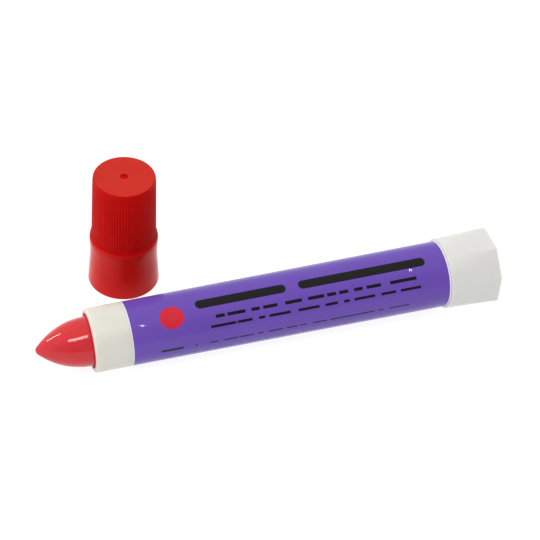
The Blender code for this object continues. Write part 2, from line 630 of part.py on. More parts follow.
def make_cap(red, cap_axis):
    """The cap: skirt, shoulder, ribbed grip, and a bore that steps from the skirt to the liner.

    From the waist the skirt swells in half a cosine wave to its full radius, and the shoulder falls in
    another to the grip.
    """
    rings = [cap_ring(0, CAP_RIM_RADIUS - CAP_RIM_EDGE), cap_ring(CAP_RIM_EDGE, CAP_RIM_RADIUS)]
    rings.append(cap_ring(CAP_WAIST_BASE, CAP_SKIRT_RADIUS - CAP_WAIST_DEPTH))
    steps = 4
    for i in range(steps + 1):
        wave = (1 + math.cos(math.pi * i / steps)) / 2
        rings.append(cap_ring(CAP_WAIST_TOP + CAP_SWELL_LENGTH * i / steps,
                              CAP_SKIRT_RADIUS - CAP_WAIST_DEPTH * wave))
    drop = CAP_SKIRT_RADIUS - CAP_GRIP_RADIUS
    for i in range(1, steps + 1):
        wave = (1 + math.cos(math.pi * i / steps)) / 2
        rings.append(cap_ring(CAP_SKIRT_HEIGHT + CAP_SHOULDER_HEIGHT * i / steps,
                              CAP_GRIP_RADIUS + drop * wave))
    ribs_bottom = CAP_GRIP_HEIGHT + CAP_RIB_FADE
    ribs_top = CAP_HEIGHT - CAP_TOP_EDGE - CAP_TOP_BAND
    for height in (ribs_bottom, ribs_top - CAP_RIB_FADE):
        rings.append(cap_ring(height, grip_radius(height), grip_radius(height) - CAP_RIB_DEPTH))
    rings.append(cap_ring(ribs_top, grip_radius(ribs_top) - CAP_RIB_DEPTH / 2))
    edge_base = CAP_HEIGHT - CAP_TOP_EDGE
    rings.append(cap_ring(edge_base, CAP_TOP_RADIUS - CAP_RIB_DEPTH / 2))
    for i in (1, 2):
        turn = i / 2 * math.pi / 2
        rings.append(cap_ring(edge_base + CAP_TOP_EDGE * math.sin(turn),
                              CAP_TOP_RADIUS - CAP_RIB_DEPTH / 2 - CAP_TOP_EDGE * (1 - math.cos(turn))))
    cap = lofted("cap", rings, red, cap_axis)
    bore = turned("cap_bore_cutter", [
        (-CAP_LEAD_IN, 0),
        (-CAP_LEAD_IN, CAP_BORE_RADIUS + 2 * CAP_LEAD_IN),
        (CAP_LEAD_IN, CAP_BORE_RADIUS),
        (CAP_SEAT, CAP_BORE_RADIUS),
        (CAP_SEAT, LINER_POCKET_BASE),
        (CAP_GRIP_HEIGHT, LINER_POCKET_TOP),
        (CAP_HEIGHT - CAP_TOP_WALL, LINER_POCKET_TOP),
        (CAP_HEIGHT - CAP_TOP_WALL, 0),
    ], parent=cap_axis, segments=CAP_RIB_COUNT, upright=True)
    combine(cap, bore, "DIFFERENCE")
    gate = turned("gate_cutter", [
        (CAP_HEIGHT - GATE_DEPTH, GATE_PIP_RADIUS),
        (CAP_HEIGHT - GATE_DEPTH, GATE_RADIUS),
        (CAP_HEIGHT + GATE_DEPTH, GATE_RADIUS),
        (CAP_HEIGHT + GATE_DEPTH, 0),
        (CAP_HEIGHT - GATE_PIP_HEIGHT, 0),
        (CAP_HEIGHT - GATE_PIP_HEIGHT, GATE_PIP_RADIUS),
    ], parent=cap_axis, segments=SMALL_SEGMENTS, upright=True)
    combine(cap, gate, "DIFFERENCE")


def make_liner(soft, cap_axis):
    """The thimble in the cap, with a flange that the barrel's mouth presses on."""
    base = LINER_POCKET_BASE - LINER_CLEARANCE
    top = LINER_POCKET_TOP - LINER_CLEARANCE
    bend = CAP_GRIP_HEIGHT - LINER_CLEARANCE
    crown = top - LINER_WALL
    turned("cap_liner", [
        (LINER_TOP - LINER_WALL, 0),
        (LINER_TOP - LINER_WALL, crown),
        (bend, crown),
        (LINER_SEAT, base - LINER_WALL),
        (LINER_SEAT, base + LINER_FLANGE_REACH),
        (LINER_SEAT + LINER_WALL, base + LINER_FLANGE_REACH),
        (LINER_SEAT + LINER_WALL, base),
        (bend, top),
        (LINER_TOP - LINER_WALL, top),
        (LINER_TOP, crown),
        (LINER_TOP, 0),
    ], soft, cap_axis, segments=HIDDEN_SEGMENTS, upright=True)


def main():
    for obj in list(bpy.data.objects):
        bpy.data.objects.remove(obj)
    white = plastic("white_polypropylene", "#DDDCD8", 0.42)
    natural = plastic("natural_acetal", "#E9E7DF", 0.35)
    film = plastic("violet_film", "#6B4CB4", 0.28)
    paint = plastic("red_solid_paint", "#D93A42", 0.38)
    red = plastic("red_polypropylene", "#BE1C1E", 0.3)
    soft = plastic("clear_polyethylene", "#E6E2DA", 0.5)
    rubber = plastic("black_rubber", "#1C1C1E", 0.6)

    axis = empty("marker_axis", (MOUTH_X, AXIS_Y, AXIS_HEIGHT))
    axis.rotation_euler = (0, -TILT, 0)
    knob_axis = empty("knob_axis", (0, 0, 0), axis)
    cap_axis = empty("cap_axis", (MOUTH_X + CAP_ALONG, AXIS_Y + CAP_ASIDE, 0))

    make_barrel(white, axis)
    make_label(film, axis)
    make_bearing(natural, axis)
    make_seal(rubber, axis)
    make_paint_stick(paint, axis)
    make_carrier(natural, axis)
    make_screw(natural, knob_axis)
    make_ratchet_ring(natural, knob_axis)
    make_knob(white, knob_axis)
    make_cap(red, cap_axis)
    make_liner(soft, cap_axis)


main()
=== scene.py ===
"""Looks for a twist-up solid paint marker that lies on a table, with its cap standing beside it.

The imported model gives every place. The marker's own axis comes from the knob's hinge, and the cap's
place from the box of its node. Lengths are in metres, and those on the marker count from its mouth.
"""

import json
import math

import bpy
import numpy as np
from mathutils import Matrix, Vector


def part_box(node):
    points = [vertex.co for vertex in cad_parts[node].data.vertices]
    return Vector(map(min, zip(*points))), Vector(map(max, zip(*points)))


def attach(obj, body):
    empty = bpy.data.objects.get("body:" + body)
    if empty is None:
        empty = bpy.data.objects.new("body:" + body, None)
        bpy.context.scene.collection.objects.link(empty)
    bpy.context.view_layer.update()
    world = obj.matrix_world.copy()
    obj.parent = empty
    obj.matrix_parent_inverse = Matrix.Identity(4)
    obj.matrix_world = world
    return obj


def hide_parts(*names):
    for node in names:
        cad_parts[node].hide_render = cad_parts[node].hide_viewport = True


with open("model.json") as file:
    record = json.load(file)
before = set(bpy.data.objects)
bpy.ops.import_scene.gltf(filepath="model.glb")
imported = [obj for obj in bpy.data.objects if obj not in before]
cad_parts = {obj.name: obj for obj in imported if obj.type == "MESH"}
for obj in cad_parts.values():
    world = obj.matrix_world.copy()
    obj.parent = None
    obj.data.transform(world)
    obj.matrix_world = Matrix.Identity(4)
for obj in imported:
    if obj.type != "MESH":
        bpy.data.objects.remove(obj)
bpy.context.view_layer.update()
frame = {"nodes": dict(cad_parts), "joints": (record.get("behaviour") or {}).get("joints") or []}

MM = 0.001

# Sizes of the barrel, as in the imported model, and of the film on it. The film runs almost to the
# collar and the knob, so that only hairlines stay between them.
BARREL_LENGTH = 97.0 * MM
BARREL_FRONT_RADIUS = 8.44 * MM
BARREL_REAR_FLARE = 0.58 * MM
BORE_RADIUS = 7.3 * MM
COLLAR_LENGTH = 9.58 * MM
COLLAR_EDGE = 0.6 * MM
MOUTH_EDGE = 0.12 * MM
LAND_DEPTH = 0.25 * MM
LABEL_FRONT = 9.62 * MM
LABEL_REAR = 97.17 * MM
LABEL_THICKNESS = 0.15 * MM
LABEL_EDGE = 0.03 * MM
KEYWAY_FRONT = 16.55 * MM
KEYWAY_RADIUS = 7.75 * MM
KEYWAY_WIDTH = 1.4 * MM
KEYWAY_COUNT = 4
SNAP_GROOVE_FRONT = 90.6 * MM
SNAP_GROOVE_REAR = 91.9 * MM
SNAP_GROOVE_DEPTH = 0.2 * MM

# The overlap of the film's two ends, as angles round the barrel. The film lies lower than the collar
# by the height of the overlap's step, so that the upper end is flush.
LAP_EDGE = 4.05, 4.056
LAP_SLOPE = 4.2, 4.4
LAP_STEP = 0.05 * MM

# Sizes of the paint stick
STICK_RADIUS = 6.55 * MM
POINT_LENGTH = 14.0 * MM
POINT_TIP_RADIUS = 1.4 * MM
POINT_UNEVENNESS = 0.018 * MM
STICK_SHOULDER = 77.85 * MM
STICK_END = 82.85 * MM
STICK_TENON_RADIUS = 6.1 * MM
STICK_BORE_FRONT = 20.55 * MM
STICK_BORE_RADIUS = 3.2 * MM

# Sizes of the knob. Its cavity holds a boss with the screw's socket, and its spigot turns in the
# barrel's rear.
KNOB_FRONT = 97.25 * MM
KNOB_END = 111.2 * MM
KNOB_FRONT_RADIUS = 9.57 * MM
KNOB_APOTHEM = 10.07 * MM
KNOB_CORNER_RADIUS = 1.2 * MM
KNOB_FRONT_EDGE = 0.15 * MM
KNOB_END_EDGE = 0.4 * MM
SPIGOT_FRONT = 93.25 * MM
SPIGOT_REAR = 97.1 * MM
SPIGOT_RADIUS = 7.05 * MM
SPIGOT_BORE_RADIUS = 6.35 * MM
CAVITY_FRONT = 96.65 * MM
CAVITY_END = 109.2 * MM
CAVITY_RADIUS = 5.75 * MM
BOSS_FRONT = 97.35 * MM
BOSS_RADIUS = 3.3 * MM
SOCKET_END = 105.05 * MM
SOCKET_RADIUS = 2.2 * MM

# Sizes of the cap. Its seat and its pocket hold the liner, and the gate mark has a small pip.
CAP_HEIGHT = 35.6 * MM
CAP_WAIST_BASE = 8.7 * MM
CAP_WAIST_TOP = 11.5 * MM
CAP_SKIRT_HEIGHT = 14.4 * MM
CAP_GRIP_HEIGHT = 17.5 * MM
CAP_RIM_RADIUS = 9.697 * MM
CAP_WAIST_RADIUS = 9.097 * MM
CAP_SKIRT_RADIUS = 9.197 * MM
CAP_GRIP_RADIUS = 8.657 * MM
CAP_TOP_RADIUS = 8.327 * MM
CAP_TOP_INSET = 0.1 * MM
CAP_TOP_EDGE = 0.42 * MM
CAP_BORE_RADIUS = 8.617 * MM
CAP_LEAD_IN = 0.3 * MM
CAP_SEAT = 10.58 * MM
CAP_CEILING = 34.0 * MM
CAP_POCKET_BASE_RADIUS = 7.9 * MM
CAP_POCKET_TOP_RADIUS = 6.977 * MM
RIB_COUNT = 72
RIB_DEPTH = 0.15 * MM
RIB_LEDGE = 0.06 * MM
GATE_RIM_RADIUS = 1.08 * MM
GATE_RADIUS = 0.98 * MM
GATE_DEPTH = 0.32 * MM
PIP_FOOT_RADIUS = 0.34 * MM
PIP_RADIUS = 0.3 * MM
PIP_DEPTH = 0.2 * MM

# How many columns go round each surface
BARREL_COLUMNS = 180
LABEL_COLUMNS = 256
STICK_COLUMNS = 128
KNOB_COLUMNS = 256
COLUMNS_PER_RIB = 8

# The camera, as fitted to the outlines in the photograph, with lens and sensor in millimetres
CAMERA_LENS = 113.02
CAMERA_SENSOR = 36
CAMERA_DISTANCE = 471.9 * MM
CAMERA_ELEVATION = math.radians(43.354)
CAMERA_AZIMUTH = math.radians(-21.423)
CAMERA_ROLL = math.radians(5.112)
AIM_ALONG = 56.79 * MM
AIM_ASIDE = 22.2 * MM

# Where the marker lies: its axis runs through the knob's hinge, from the mouth to the knob
hinge = next(joint for joint in frame["joints"] if joint["type"] == "hinge")
TO_KNOB = -Vector(hinge["axis"]).normalized()
MOUTH = Vector(hinge["pos_m"]) - TO_KNOB * KNOB_FRONT
ASIDE = Vector((0, 1, 0))
LYING = Matrix((TO_KNOB, ASIDE, TO_KNOB.cross(ASIDE).normalized())).transposed().to_4x4()
LYING.translation = MOUTH

# Where the cap stands
cap_low, cap_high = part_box("cap")
STANDING = Matrix.Translation(((cap_low.x + cap_high.x) / 2, (cap_low.y + cap_high.y) / 2, 0))


def linear(hex_colour):
    """Turn an sRGB hex colour into the linear values that the shaders read."""
    shares = [int(hex_colour[i:i + 2], 16) / 255 for i in (1, 3, 5)]
    return [s / 12.92 if s <= 0.04045 else ((s + 0.055) / 1.055) ** 2.4 for s in shares] + [1.0]


# Outlines and angles


def barrel_radius(x):
    """The barrel's outer radius: it grows evenly from the mouth to the rear."""
    return BARREL_FRONT_RADIUS + BARREL_REAR_FLARE * x / BARREL_LENGTH


def rounded(corners, steps=5):
    """Points of (along, radius) on an outline of (along, radius, fillet) corners.

    A fillet's arc starts and ends at fillet / tan(half the corner's angle) from the corner. Its
    points turn evenly about a centre on the corner's bisector, fillet / sin(half) from the corner.
    One more point stands before the arc and after it, a third of that first distance away, so that
    the shading of the straight stretches stays flat.
    """
    points = []
    for k, (along, radius, fillet) in enumerate(corners):
        here = np.array((along, radius))
        if fillet <= 0:
            points.append(here)
            continue
        back = np.array(corners[k - 1][:2]) - here
        ahead = np.array(corners[(k + 1) % len(corners)][:2]) - here
        back /= np.linalg.norm(back)
        ahead /= np.linalg.norm(ahead)
        half = math.acos(np.clip(back @ ahead, -1, 1)) / 2
        centre = here + (back + ahead) / np.linalg.norm(back + ahead) * fillet / math.sin(half)
        reach = fillet / math.tan(half)
        start = here + back * reach - centre
        end = here + ahead * reach - centre
        sweep = math.pi - 2 * half
        share = np.linspace(0, 1, steps + 1)[:, None]
        points.append(centre + start + back * reach / 3)
        points.extend(centre + (np.sin((1 - share) * sweep) * start + np.sin(share * sweep) * end)
                      / math.sin(sweep))
        points.append(centre + end + ahead * reach / 3)
    return np.array(points)


def turn(count):
    """Evenly spread angles of one turn, without its end."""
    return np.linspace(0, math.tau, count, endpoint=False)


def smooth_step(value, low, high):
    """0 below low and 1 above high, with the cubic 3 s^2 - 2 s^3 of the share s between them."""
    share = np.clip((value - low) / (high - low), 0, 1)
    return share * share * (3 - 2 * share)


# Surfaces


def volume(points, faces):
    """Six times the volume that faces enclose with the origin, as fans from their first corners."""
    corners = points[faces]
    fans = [np.einsum("ij,ij->", corners[:, 0], np.cross(corners[:, n], corners[:, n + 1]))
            for n in range(1, faces.shape[1] - 1)]
    return sum(fans)


def shell(name, along, radius, angle, material, body, node=None, standing=False, ring=False):
    """A closed surface over a grid, with row i and column j at along[i], radius[i, j] and angle[j].

    On the marker a point is (along, -radius sin(angle), radius cos(angle)): the angle counts from
    straight up towards the camera's side. On the standing cap it is (radius cos(angle),
    radius sin(angle), along). A ring's last row joins its first. Otherwise a point on the axis
    closes each end. The UV map holds the place along the axis and the way round, in millimetres.
    """
    rows, columns = len(along), len(angle)
    along = np.asarray(along, float)
    radius = np.broadcast_to(np.asarray(radius, float).reshape(rows, -1), (rows, columns))
    across, up = radius * np.cos(angle), radius * np.sin(angle)
    level = np.repeat(along[:, None], columns, axis=1)
    order = (across, up, level) if standing else (level, -up, across)
    points = np.stack(order, -1).reshape(-1, 3)
    reach = radius.max() / MM
    way = np.stack([level / MM, np.broadcast_to(np.asarray(angle) * reach, level.shape)], -1)
    way = way.reshape(-1, 2)

    here = np.arange(columns)
    after = (here + 1) % columns
    row = np.arange(rows if ring else rows - 1)[:, None] * columns
    above = (row + columns) % (rows * columns)
    quads = np.stack([row + here, row + after, above + after, above + here], -1).reshape(-1, 4)
    faces = [quads]
    if not ring:
        ends = np.zeros((2, 3))
        ends[:, 2 if standing else 0] = along[0], along[-1]
        points = np.concatenate([points, ends])
        way = np.concatenate([way, [(along[0] / MM, 0), (along[-1] / MM, 0)]])
        last = (rows - 1) * columns
        first_pole = np.full(columns, rows * columns)
        faces.append(np.stack([first_pole, after, here], -1))
        faces.append(np.stack([first_pole + 1, last + here, last + after], -1))
    if sum(volume(points, part) for part in faces) < 0:
        faces = [part[:, ::-1] for part in faces]

    uvs = []
    for part in faces:
        uv = way[part]
        v = uv[..., 1]
        pole = part >= rows * columns
        v[(v < v.max(axis=1, keepdims=True) - math.pi * reach) & ~pole] += math.tau * reach
        if pole.any():
            v[pole] = v.sum(axis=1) / 2
        uvs.append(uv.reshape(-1, 2))

    place = np.array(STANDING if standing else LYING)
    points = points @ place[:3, :3].T + place[:3, 3]
    sizes = np.concatenate([np.full(len(part), part.shape[1]) for part in faces])
    mesh = bpy.data.meshes.new(name)
    mesh.vertices.add(len(points))
    mesh.vertices.foreach_set("co", points.astype(np.float32).ravel())
    mesh.loops.add(int(sizes.sum()))
    corners = np.concatenate([part.ravel() for part in faces])
    mesh.loops.foreach_set("vertex_index", corners.astype(np.int32))
    mesh.polygons.add(len(sizes))
    starts = np.concatenate([[0], np.cumsum(sizes)[:-1]])
    mesh.polygons.foreach_set("loop_start", starts.astype(np.int32))
    mesh.update(calc_edges=True)
    uv_map = mesh.uv_layers.new(name="way")
    uv_map.data.foreach_set("uv", np.concatenate(uvs).astype(np.float32).ravel())
    mesh.shade_smooth()
    mesh.set_sharp_from_angle(angle=math.radians(38))
    mesh.materials.append(material)
    piece = bpy.data.objects.new(name, mesh)
    bpy.context.scene.collection.objects.link(piece)
    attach(piece, body)
    if node:
        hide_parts(node)
    return piece


# Nodes of the materials


def add(tree, kind, links=None, **settings):
    """Add one node. Settings are its properties, and links its sockets' values or feeding outputs."""
    new = tree.nodes.new(kind)
    for key, value in settings.items():
        setattr(new, key, value)
    for key, value in (links or {}).items():
        if isinstance(value, bpy.types.NodeSocket):
            tree.links.new(value, new.inputs[key])
        else:
            new.inputs[key].default_value = value
    return new


def begin(name, values):
    """A new material. The values are set straight on its shader's sockets."""
    material = bpy.data.materials.new(name)
    material.use_nodes = True
    shader = material.node_tree.nodes["Principled BSDF"]
    for key, value in values.items():
        shader.inputs[key].default_value = value
    return material, material.node_tree, shader


def place_of(tree):
    """The place in the model, in metres."""
    return add(tree, "ShaderNodeTexCoord").outputs["Object"]


def way_of(tree):
    """The place along the axis and the way round it, in millimetres, from the piece's own UV map."""
    uv = add(tree, "ShaderNodeUVMap", uv_map="way").outputs[0]
    parts = add(tree, "ShaderNodeSeparateXYZ", {"Vector": uv}).outputs
    return parts["X"], parts["Y"]


def mottle(tree, vector, size, detail=2.0, stretch=(1, 1, 1)):
    """Noise whose blotches are about size across, in the vector's own unit, before any stretch."""
    scaled = add(tree, "ShaderNodeMapping", {"Vector": vector, "Scale": stretch})
    noise = add(tree, "ShaderNodeTexNoise", {"Vector": scaled.outputs[0], "Scale": 1 / size,
                                             "Detail": detail, "Roughness": 0.55})
    return noise.outputs["Fac"]


def spread(tree, value, low, high, start=0.3, stop=0.7):
    """Carry a value's range from start to stop over to low to high."""
    ranged = add(tree, "ShaderNodeMapRange", {"Value": value, "From Min": start, "From Max": stop,
                                              "To Min": low, "To Max": high})
    return ranged.outputs["Result"]


def between(tree, share, first, second):
    """Mix two colours by a share from 0 to 1."""
    mix = add(tree, "ShaderNodeMix", {0: share, 6: first, 7: second}, data_type="RGBA")
    return mix.outputs[2]


def work(tree, operation, first, second=0.0):
    """One step of arithmetic on one or two values."""
    return add(tree, "ShaderNodeMath", {0: first, 1: second}, operation=operation).outputs[0]


def relief(tree, height, depth, last=None):
    """A bump of a real depth in metres, on top of the bumps before it."""
    links = {"Height": height, "Distance": depth, "Strength": 1.0}
    if last:
        links["Normal"] = last
    return add(tree, "ShaderNodeBump", links).outputs["Normal"]


# Materials


def white_polypropylene(name, hex_colour, deeper, lip_pink_light=0.0):
    """Polypropylene, injection moulded in a spark-eroded mould.

    To the eye it is a warm, slightly milky white with a soft satin sheen. The mould's texture is too
    fine to show, so its grain is drawn 0.35 mm wide. The lip at the mouth has a painted pink light,
    standing in for the red light that the paint bounces onto it.
    """
    material, tree, shader = begin(name, {
        "Roughness": 0.4, "IOR": 1.49, "Subsurface Weight": 0.4,
        "Subsurface Radius": (1.0, 0.9, 0.75), "Subsurface Scale": 2.5 * MM,
    })
    place = place_of(tree)
    cloud = spread(tree, mottle(tree, place, 9 * MM), 0, 1)
    colour = between(tree, cloud, linear(hex_colour), linear(deeper))
    # Painted light: the lip's pink stands in for red light that the paint bounces onto the mouth
    if lip_pink_light:
        along = way_of(tree)[0]
        lip_light_patches = spread(tree, mottle(tree, place, 1.5 * MM), 0.6 * lip_pink_light, lip_pink_light)
        lip = work(tree, "MULTIPLY", spread(tree, along, 1, 0, 0.05, 0.35), lip_light_patches)
        colour = between(tree, lip, colour, linear("#EAA09B"))
    tree.links.new(colour, shader.inputs["Base Color"])
    patch = spread(tree, mottle(tree, place, 3 * MM, 3), 0.36, 0.46)
    tree.links.new(patch, shader.inputs["Roughness"])
    grain = mottle(tree, place, 0.35 * MM)
    flow = mottle(tree, place, 4 * MM, stretch=(0.15, 1, 1))
    bump = relief(tree, grain, 0.012 * MM, relief(tree, flow, 0.05 * MM))
    tree.links.new(bump, shader.inputs["Normal"])
    return material


def red_polypropylene(name, hex_colour, deeper, specular, roughness):
    """Polypropylene, injection moulded: polished on the skirt, ground on the grip, ring and top.

    To the eye it is a deep red with a clear gloss on the skirt, and a softer sheen above it. Slow
    melt leaves faint upright flow lines.
    """
    material, tree, shader = begin(name, {
        "IOR": 1.49, "Specular IOR Level": specular, "Subsurface Weight": 0.08,
        "Subsurface Radius": (1.0, 0.2, 0.15), "Subsurface Scale": 0.8 * MM,
    })
    place = place_of(tree)
    cloud = spread(tree, mottle(tree, place, 7 * MM), 0, 1)
    colour = between(tree, cloud, linear(hex_colour), linear(deeper))
    tree.links.new(colour, shader.inputs["Base Color"])
    patch = spread(tree, mottle(tree, place, 2.5 * MM, 3), roughness - 0.03, roughness + 0.03)
    tree.links.new(patch, shader.inputs["Roughness"])
    flow = mottle(tree, place, 1.6 * MM, stretch=(1, 1, 0.08))
    bump = relief(tree, flow, 0.012 * MM, relief(tree, mottle(tree, place, 5 * MM), 0.04 * MM))
    tree.links.new(bump, shader.inputs["Normal"])
    return material


def solid_paint():
    """Paint bound in wax, cast in a polished mould.

    To the eye it is an opaque coral red with a waxy depth and a smooth gloss, dulled in places by
    handling, with fine lines round it where it was wiped.
    """
    material, tree, shader = begin("cast_solid_paint", {
        "IOR": 1.45, "Specular IOR Level": 0.45, "Subsurface Weight": 0.2,
        "Subsurface Radius": (1.0, 0.25, 0.2), "Subsurface Scale": 0.8 * MM,
    })
    place = place_of(tree)
    cloud = spread(tree, mottle(tree, place, 3.5 * MM, 4), 0, 1)
    colour = between(tree, cloud, linear("#C5272F"), linear("#BF222B"))
    tree.links.new(colour, shader.inputs["Base Color"])
    patch = spread(tree, mottle(tree, place, 2 * MM, 4), 0.08, 0.14)
    tree.links.new(patch, shader.inputs["Roughness"])
    rings = mottle(tree, place, 0.5 * MM, stretch=(1, 0.12, 0.12))
    bump = relief(tree, rings, 0.004 * MM, relief(tree, mottle(tree, place, 3.5 * MM, 2), 0.02 * MM))
    tree.links.new(bump, shader.inputs["Normal"])
    return material


def inside(tree, value, low, high, soft):
    """1 where a value lies from low to high, falling to 0 over a soft edge."""
    middle, half = (low + high) / 2, (high - low) / 2
    off = work(tree, "ABSOLUTE", work(tree, "SUBTRACT", value, middle))
    return spread(tree, off, 1, 0, half - soft / 2, half + soft / 2)


def bar(tree, along, way, start, stop, centre, height):
    """The mask of a printed bar with round ends, in millimetres on the wrapped label.

    It is 1 nearer than half the height to the line between the two ends' centres.
    """
    half = height / 2
    middle, reach = (start + stop) / 2, (stop - start) / 2 - half
    off = work(tree, "ABSOLUTE", work(tree, "SUBTRACT", along, middle))
    past = work(tree, "MAXIMUM", work(tree, "SUBTRACT", off, reach))
    beside = work(tree, "SUBTRACT", way, centre)
    gap = add(tree, "ShaderNodeCombineXYZ", {"X": past, "Y": beside}).outputs[0]
    distance = add(tree, "ShaderNodeVectorMath", {0: gap}, operation="LENGTH").outputs["Value"]
    return spread(tree, distance, 1, 0, half - 0.06, half + 0.06)


def dashes(tree, along, way, start, stop, centre, height, size):
    """The mask of a row of printed dashes of uneven length, cut from noise about size long."""
    line = inside(tree, way, centre - height / 2, centre + height / 2, 0.1)
    row = work(tree, "MULTIPLY", line, inside(tree, along, start, stop, 0.1))
    shifted = work(tree, "ADD", along, centre * 31)
    noise = add(tree, "ShaderNodeTexNoise", {"W": shifted, "Scale": 1 / size, "Detail": 0.0},
                noise_dimensions="1D").outputs["Fac"]
    return work(tree, "MULTIPLY", row, spread(tree, noise, 0, 1, 0.4, 0.42))


def label_film():
    """Polypropylene film, printed on its back in violet and laid round the barrel.

    To the eye it is a saturated violet under a clear gloss. The film isn't quite flat: long shallow
    waves bend the reflections. Each end has a narrow bare margin. The print on it is plain: bars,
    rows of dashes and a round spot in the paint's colour. In millimetres, a bar has its start, stop,
    centre line and height, and a row has those and the size of its dashes.
    """
    material, tree, shader = begin("printed_violet_film", {
        "Roughness": 0.3, "IOR": 1.49, "Specular IOR Level": 0.08, "Coat Weight": 0.35,
        "Coat Roughness": 0.022, "Coat IOR": 1.45,
    })
    place = place_of(tree)
    along, way = way_of(tree)
    cloud = spread(tree, mottle(tree, place, 14 * MM), 0, 1)
    ink = between(tree, cloud, linear("#6346A6"), linear("#6043A1"))
    bars = [(27.5, 52.0, 2.6, 2.6), (55.5, 91.0, 2.6, 2.6)]
    rows = [
        (31.0, 89.3, 6.8, 0.9, 3.2), (30.5, 89.3, 9.4, 0.75, 2.6), (17.0, 26.5, 14.3, 0.8, 5.0),
        (30.0, 85.5, 14.3, 0.45, 2.4), (17.0, 78.0, 17.4, 0.4, 2.4), (27.0, 62.0, -2.6, 0.4, 2.0),
    ]
    black = bar(tree, along, way, *bars[0])
    black = work(tree, "MAXIMUM", black, bar(tree, along, way, *bars[1]))
    for row in rows:
        black = work(tree, "MAXIMUM", black, dashes(tree, along, way, *row))
    ink = between(tree, black, ink, linear("#0B0A0E"))
    spot = bar(tree, along, way, 17.6, 24.0, 4.8, 6.4)
    ink = between(tree, spot, ink, linear("#C01F33"))
    front_margin, rear_margin = 0.31, 0.43
    printed = inside(tree, along, LABEL_FRONT / MM + front_margin, LABEL_REAR / MM - rear_margin, 0.08)
    colour = between(tree, printed, linear("#DFDAE5"), ink)
    tree.links.new(colour, shader.inputs["Base Color"])
    wave = relief(tree, mottle(tree, place, 9 * MM, 0, stretch=(0.22, 1, 1)), 0.003 * MM)
    fine = relief(tree, mottle(tree, place, 1.2 * MM), 0.002 * MM, wave)
    tree.links.new(fine, shader.inputs["Normal"])
    tree.links.new(wave, shader.inputs["Coat Normal"])
    return material


def moulded_inner(name, hex_colour, deeper, roughness, size):
    """Small inner mouldings: a plain colour with faint clouds and a fine moulded grain."""
    material, tree, shader = begin(name, {"Roughness": roughness, "IOR": 1.48})
    place = place_of(tree)
    cloud = spread(tree, mottle(tree, place, size), 0, 1)
    colour = between(tree, cloud, linear(hex_colour), linear(deeper))
    tree.links.new(colour, shader.inputs["Base Color"])
    tree.links.new(relief(tree, mottle(tree, place, 0.3 * MM), 0.01 * MM), shader.inputs["Normal"])
    return material


def studio_paper():
    """Matt white seamless paper on a light table, with a barely visible unevenness.

    It glows less in a strip behind the marker, as if in the marker's shade, and the cap's skirt
    mirrors that.
    """
    material, tree, shader = begin("matt_seamless_paper", {
        "Roughness": 0.9, "Specular IOR Level": 0.1, "Emission Color": linear("#FFFFFF"),
    })
    place = place_of(tree)
    at = add(tree, "ShaderNodeSeparateXYZ", {"Vector": place}).outputs
    behind = inside(tree, at["Y"], MOUTH.y, MOUTH.y + 14.5 * MM, 7 * MM)
    beside = inside(tree, at["X"], MOUTH.x + 6 * MM, MOUTH.x + KNOB_END - 3 * MM, 12 * MM)
    shade = work(tree, "MULTIPLY", behind, beside)
    tree.links.new(spread(tree, shade, 0.9, 0.15, 0, 1), shader.inputs["Emission Strength"])
    cloud = spread(tree, mottle(tree, place, 200 * MM), 0, 1)
    colour = between(tree, cloud, linear("#7D7D7C"), linear("#797978"))
    tree.links.new(colour, shader.inputs["Base Color"])
    return material


# Pieces


def make_barrel(white):
    """The tube, from the middle of its bore round the mouth, the collar, the land and the rear.

    Its outline is turned about the axis. Behind the keyways' front end, the bore's radius steps out
    to the keyways' within half a width of each of their four middle lines.
    """
    outline = rounded([
        (KEYWAY_FRONT + 0.02 * MM, BORE_RADIUS, 0),
        (KEYWAY_FRONT, BORE_RADIUS, 0),
        (0, BORE_RADIUS, MOUTH_EDGE),
        (0, barrel_radius(0), COLLAR_EDGE),
        (COLLAR_LENGTH, barrel_radius(COLLAR_LENGTH), 0.06 * MM),
        (COLLAR_LENGTH, barrel_radius(COLLAR_LENGTH) - LAND_DEPTH, 0.04 * MM),
        (BARREL_LENGTH, barrel_radius(BARREL_LENGTH) - LAND_DEPTH, 0.08 * MM),
        (BARREL_LENGTH, BORE_RADIUS, 0.05 * MM),
        (SNAP_GROOVE_REAR, BORE_RADIUS, 0),
        (SNAP_GROOVE_REAR, BORE_RADIUS + SNAP_GROOVE_DEPTH, 0),
        (SNAP_GROOVE_FRONT, BORE_RADIUS + SNAP_GROOVE_DEPTH, 0),
        (SNAP_GROOVE_FRONT, BORE_RADIUS, 0),
    ], steps=8)
    along, radius = outline.T
    middles = math.tau * (np.arange(KEYWAY_COUNT) + 0.5) / KEYWAY_COUNT
    half = math.asin(KEYWAY_WIDTH / 2 / KEYWAY_RADIUS)
    edges = (middles[:, None] + half * np.array([-1.01, -0.99, 0.99, 1.01])).ravel()
    angle = np.sort(np.concatenate([turn(BARREL_COLUMNS), edges]))
    off = np.abs((angle[:, None] - middles + math.pi) % math.tau - math.pi).min(axis=1)
    bored = (along > KEYWAY_FRONT + 0.01 * MM) & (radius < KEYWAY_RADIUS)
    grid = np.where(bored[:, None] & (off < half), KEYWAY_RADIUS, radius[:, None])
    shell("barrel_tube", along, grid, angle, white, "barrel", "barrel", ring=True)


